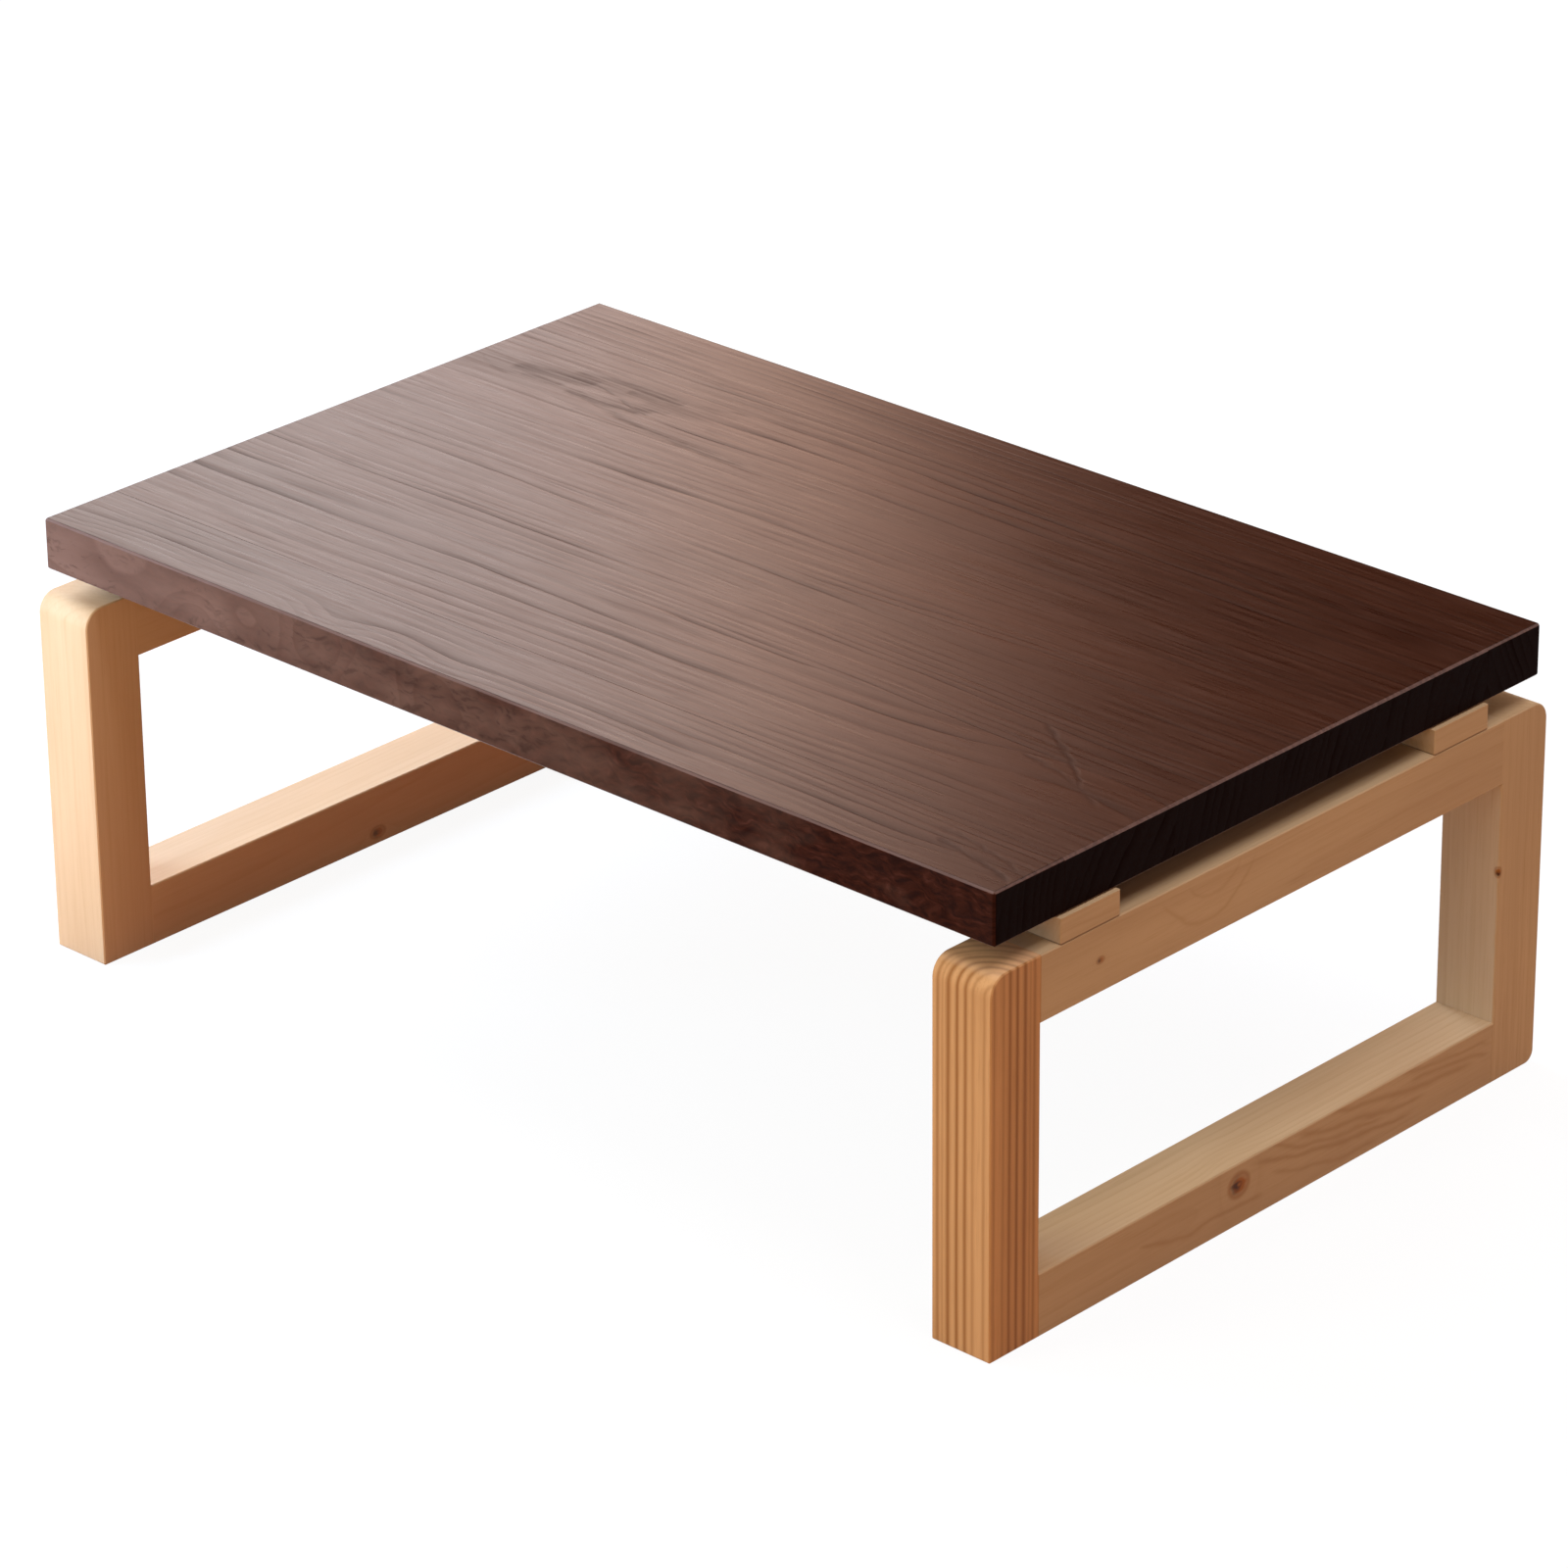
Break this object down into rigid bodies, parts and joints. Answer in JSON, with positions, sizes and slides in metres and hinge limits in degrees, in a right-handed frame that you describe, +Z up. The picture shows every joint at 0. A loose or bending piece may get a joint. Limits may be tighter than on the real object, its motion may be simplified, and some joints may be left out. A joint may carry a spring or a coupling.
{
  "type": "folding low table",
  "caption": "Low rectangular table with a dark stained board top on pale wooden loop-shaped leg frames that fold flat underneath on steel brackets.",
  "frame": {"origin": "on the floor, under the middle of the top", "axes": "+X along the top's length, towards the right leg frame; +Y to the rear long edge; +Z up"},
  "size_m": [0.806, 0.512, 0.3],
  "materials": {
    "stained_top": "brushed pine boards, dark brown stain under satin lacquer",
    "pine_frame": "sanded pine, clear satin finish",
    "bracket_steel": "pressed steel, bright zinc plated",
    "pin_steel": "turned steel, zinc plated",
    "spring_steel": "blued spring steel, oiled",
    "screw_steel": "yellow-white zinc plated"
  },
  "bodies": {
    "tabletop": {"top_board_1": "stained_top", "top_board_2": "stained_top", "top_board_3": "stained_top", "top_board_4": "stained_top", "top_board_5": "stained_top", "top_board_6": "stained_top", "right_front_bracket_base_plate": "bracket_steel", "right_front_bracket_pivot_pin": "pin_steel", "right_front_bracket_spring_leaf": "spring_steel", "right_rear_bracket_base_plate": "bracket_steel", "right_rear_bracket_pivot_pin": "pin_steel", "right_rear_bracket_spring_leaf": "spring_steel", "right_leaf_rivets": "pin_steel", "right_base_plate_screws": "screw_steel", "left_front_bracket_base_plate": "bracket_steel", "left_front_bracket_pivot_pin": "pin_steel", "left_front_bracket_spring_leaf": "spring_steel", "left_rear_bracket_base_plate": "bracket_steel", "left_rear_bracket_pivot_pin": "pin_steel", "left_rear_bracket_spring_leaf": "spring_steel", "left_leaf_rivets": "pin_steel", "left_base_plate_screws": "screw_steel"},
    "right_leg_frame": {"right_frame_front_post": "pine_frame", "right_frame_rear_post": "pine_frame", "right_frame_top_rail": "pine_frame", "right_frame_bottom_rail": "pine_frame", "right_front_spacer_block": "pine_frame", "right_front_bracket_leg_plate": "bracket_steel", "right_rear_spacer_block": "pine_frame", "right_rear_bracket_leg_plate": "bracket_steel", "right_block_screws": "screw_steel", "right_leg_plate_screws": "screw_steel"},
    "left_leg_frame": {"left_frame_front_post": "pine_frame", "left_frame_rear_post": "pine_frame", "left_frame_top_rail": "pine_frame", "left_frame_bottom_rail": "pine_frame", "left_front_spacer_block": "pine_frame", "left_front_bracket_leg_plate": "bracket_steel", "left_rear_spacer_block": "pine_frame", "left_rear_bracket_leg_plate": "bracket_steel", "left_block_screws": "screw_steel", "left_leg_plate_screws": "screw_steel"}
  },
  "joints": [
    {"name": "right_leg_fold", "type": "hinge", "parent": "tabletop", "child": "right_leg_frame", "pos_m": [0.348, 0, 0.252], "axis": [0, 1, 0], "range_deg": [0, 90], "deforming": ["right_front_bracket_spring_leaf", "right_rear_bracket_spring_leaf"]},
    {"name": "left_leg_fold", "type": "hinge", "parent": "tabletop", "child": "left_leg_frame", "pos_m": [-0.348, 0, 0.252], "axis": [0, -1, 0], "range_deg": [0, 90], "deforming": ["left_front_bracket_spring_leaf", "left_rear_bracket_spring_leaf"]}
  ]
}
